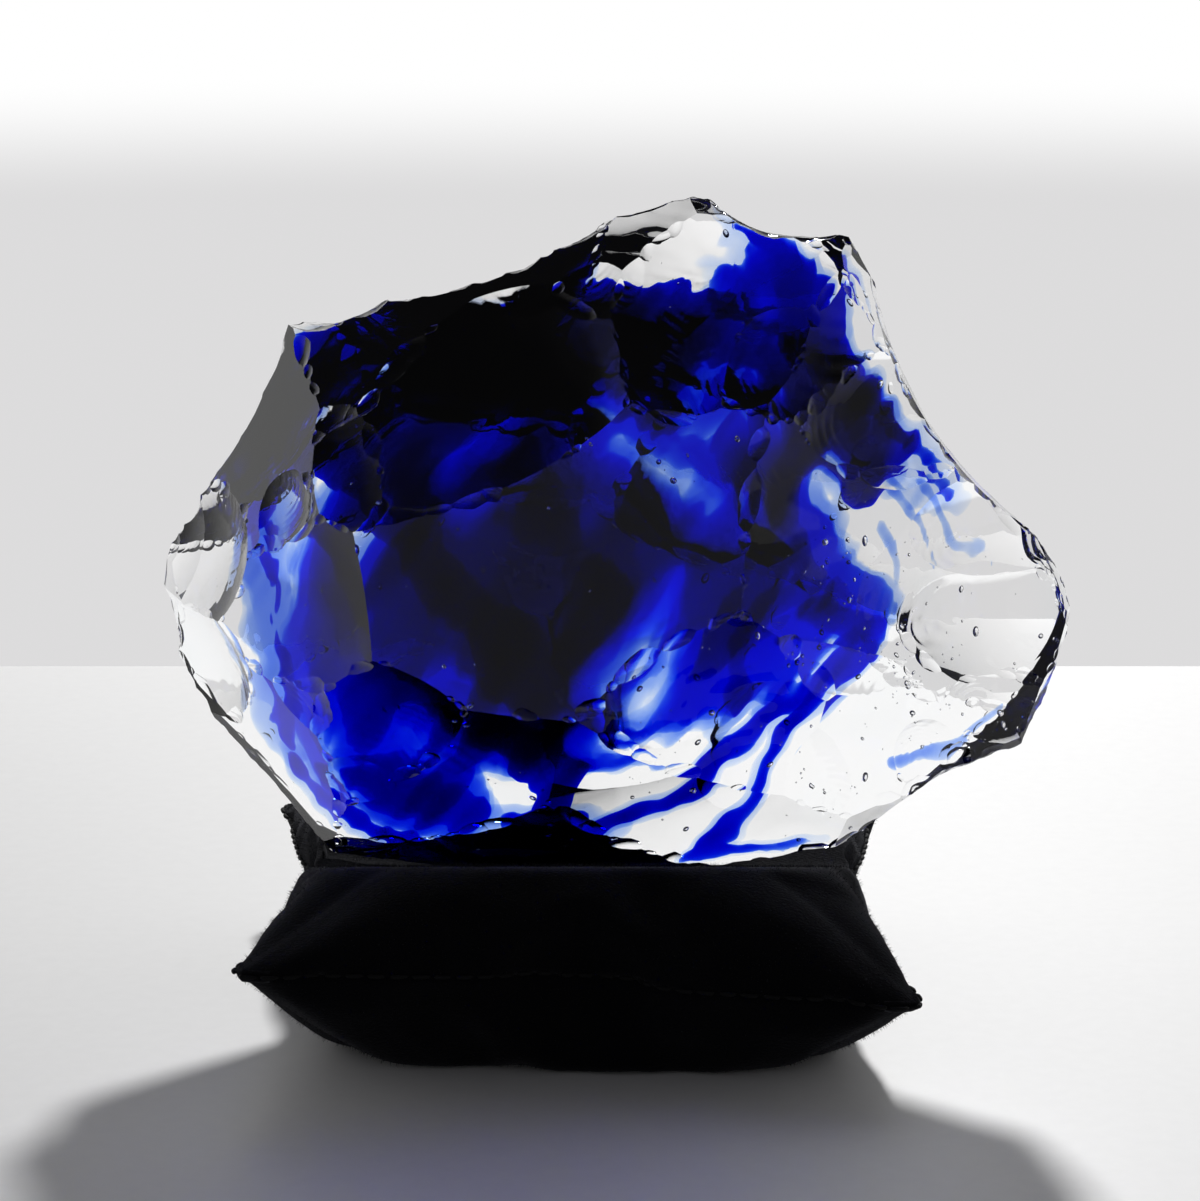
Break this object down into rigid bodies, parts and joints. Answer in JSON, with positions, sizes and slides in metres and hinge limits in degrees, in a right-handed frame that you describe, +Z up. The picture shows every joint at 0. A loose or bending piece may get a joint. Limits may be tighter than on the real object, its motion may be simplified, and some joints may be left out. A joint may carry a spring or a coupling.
{
  "type": "glass specimen on cushion",
  "caption": "Hand-broken lump of clear and cobalt-blue glass with shell-shaped fracture faces, standing in a small square velvet display cushion.",
  "frame": {"origin": "on the table, under the middle of the whole object's bounding box", "axes": "+X to the right of the lump's broad front, +Y from its front to its back, +Z up"},
  "size_m": [0.1262, 0.09, 0.1121],
  "materials": {
    "clear_glass": "polished",
    "cobalt_glass": "polished",
    "black_velvet": "matte",
    "fibre_filling": "matte",
    "black_thread": "satin"
  },
  "bodies": {
    "cushion": {"cushion_top_panel": "black_velvet", "cushion_bottom_panel": "black_velvet", "cushion_filling": "fibre_filling", "cushion_edge_thread": "black_thread", "cushion_closing_stitches": "black_thread"},
    "lump": {"clear_glass": "clear_glass", "cobalt_core": "cobalt_glass", "cobalt_brow_cloud": "cobalt_glass", "cobalt_crest_streak": "cobalt_glass", "cobalt_left_veil": "cobalt_glass", "cobalt_left_cloud": "cobalt_glass", "cobalt_heel_ribbon": "cobalt_glass", "cobalt_lower_ribbon": "cobalt_glass", "cobalt_right_streak": "cobalt_glass", "cobalt_right_wisp": "cobalt_glass"}
  },
  "joints": [
    {"name": "glass_lift", "type": "slide", "parent": "cushion", "child": "lump", "axis": [0, 0, 1], "range_m": [0, 0.06]}
  ]
}
